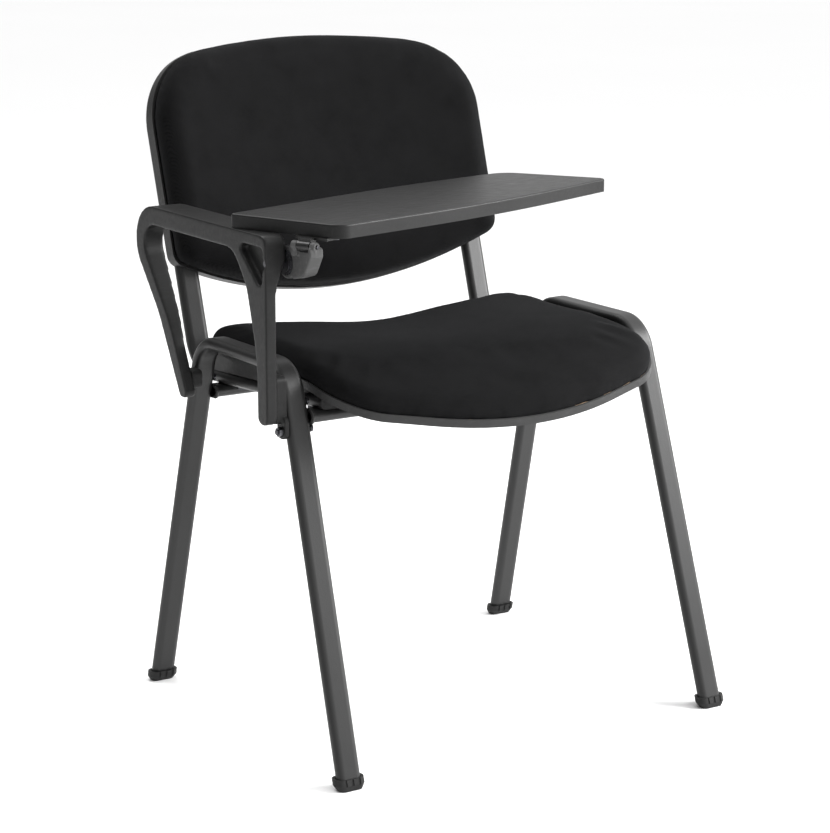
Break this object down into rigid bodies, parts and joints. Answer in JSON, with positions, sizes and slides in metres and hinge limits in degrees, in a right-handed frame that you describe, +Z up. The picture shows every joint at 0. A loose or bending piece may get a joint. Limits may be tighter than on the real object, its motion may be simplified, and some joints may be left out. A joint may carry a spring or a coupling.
{
  "type": "student desk chair",
  "caption": "Upholstered stacking chair on a flat-oval tube frame, with one arm loop carrying a swing-away, lift-up writing tablet.",
  "frame": {"origin": "floor level, midway between the chair's outermost points in width and depth", "axes": "+Z up, -Y the way a seated person faces, -X the sitter's right-hand side, where the writing tablet's arm is"},
  "size_m": [0.5774, 0.5951, 0.8039],
  "materials": {
    "frame_steel": "fine-textured matt black powder coat on steel tube",
    "foot_plastic": "matt black moulded plastic with grip grooves",
    "shell_plastic": "satin dark grey polypropylene with a light grain",
    "plywood": "bare beech plywood, hidden under the upholstery",
    "fabric": "near-black woven upholstery over foam",
    "arm_plastic": "satin black moulded plastic with a light grain",
    "mechanism_plastic": "matt black glass-filled plastic",
    "black_plastic": "matt black moulded plastic",
    "tablet_plastic": "satin black moulded writing surface with a fine grain",
    "screw_steel": "black zinc-plated steel"
  },
  "bodies": {
    "chair": {"side_frame_right": "frame_steel", "side_frame_left": "frame_steel", "rear_crossbar": "frame_steel", "front_crossbar": "frame_steel", "back_upright_right": "frame_steel", "back_upright_left": "frame_steel", "upright_end_plugs": "black_plastic", "foot_front_right": "foot_plastic", "foot_rear_right": "foot_plastic", "foot_front_left": "foot_plastic", "foot_rear_left": "foot_plastic", "seat_pan": "shell_plastic", "seat_board": "plywood", "seat_cushion": "fabric", "back_shell": "shell_plastic", "back_board": "plywood", "back_cushion": "fabric", "seat_screws": "screw_steel", "seat_nuts": "screw_steel", "back_screws": "screw_steel", "back_nuts": "screw_steel", "arm_loop": "arm_plastic", "arm_bracket_front": "black_plastic", "arm_bracket_rear": "black_plastic", "arm_bolts": "screw_steel", "arm_inserts": "screw_steel", "arm_nuts": "screw_steel", "swing_bolt": "screw_steel", "swing_nut": "screw_steel", "friction_washers": "screw_steel"},
    "swing_knuckle": {"knuckle": "mechanism_plastic", "hinge_pin": "screw_steel"},
    "tablet": {"tablet_plate": "frame_steel", "tablet_top": "tablet_plastic", "tablet_screws": "screw_steel"}
  },
  "joints": [
    {"name": "tablet_swing", "type": "hinge", "parent": "chair", "child": "swing_knuckle", "pos_m": [-0.24225, -0.1612, 0.589], "axis": [1, 0, 0], "range_deg": [0, 90]},
    {"name": "tablet_lift", "type": "hinge", "parent": "swing_knuckle", "child": "tablet", "pos_m": [-0.25235, -0.20218, 0.612], "axis": [0.3801, -0.9249, 0], "range_deg": [0, 95]}
  ]
}
